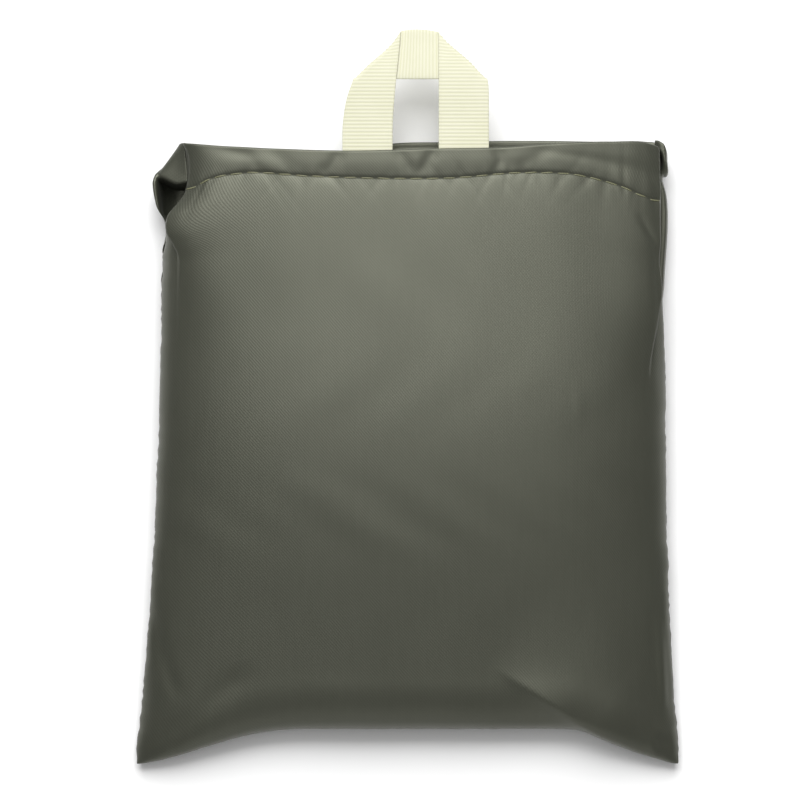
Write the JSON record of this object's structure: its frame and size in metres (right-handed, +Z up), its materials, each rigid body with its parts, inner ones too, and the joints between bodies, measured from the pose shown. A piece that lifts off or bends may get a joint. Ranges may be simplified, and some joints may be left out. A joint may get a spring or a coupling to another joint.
{
  "type": "foldable tote bag",
  "caption": "Lightweight tote bag folded flat into its own soft open-topped pouch, with a ribbon hanging loop at the mouth.",
  "frame": {"origin": "on the surface the packed bag lies on, under the middle of its outline including the hanging loop", "axes": "+X across the pouch, +Y from its bottom seam to its mouth and loop, +Z up, out of the pouch's front"},
  "size_m": [0.163, 0.221, 0.0265],
  "materials": {
    "pouch_cloth": "fine nylon twill with a soft sheen",
    "tote_cloth": "fine nylon twill with a soft sheen",
    "webbing": "matt woven webbing",
    "ribbon": "ribbed grosgrain",
    "thread": "twisted polyester sewing thread"
  },
  "bodies": {
    "pouch": {"pouch_front_panel": "pouch_cloth", "pouch_back_panel": "pouch_cloth", "front_hem_stitching": "thread", "back_hem_stitching": "thread", "left_seam_overlock": "thread", "right_seam_overlock": "thread", "bottom_seam_overlock": "thread", "loop_tail_left": "ribbon", "loop_tack_left": "thread", "loop_tail_right": "ribbon", "loop_tack_right": "thread"},
    "loop": {"hanging_loop": "ribbon"},
    "bundle": {"tote_front_panel": "tote_cloth", "tote_gusset": "tote_cloth", "tote_back_panel": "tote_cloth", "front_handle": "webbing", "front_handle_tack_left": "thread", "front_handle_tack_right": "thread", "back_handle": "webbing", "back_handle_tack_left": "thread", "back_handle_tack_right": "thread"}
  },
  "joints": [
    {"name": "loop_swing", "type": "hinge", "parent": "pouch", "child": "loop", "pos_m": [0.0026, 0.0787, 0.0222], "axis": [1, 0, 0], "range_deg": [0, 135]},
    {"name": "bundle_slide", "type": "slide", "parent": "pouch", "child": "bundle", "axis": [0, 1, 0], "range_m": [0, 0.17]}
  ]
}
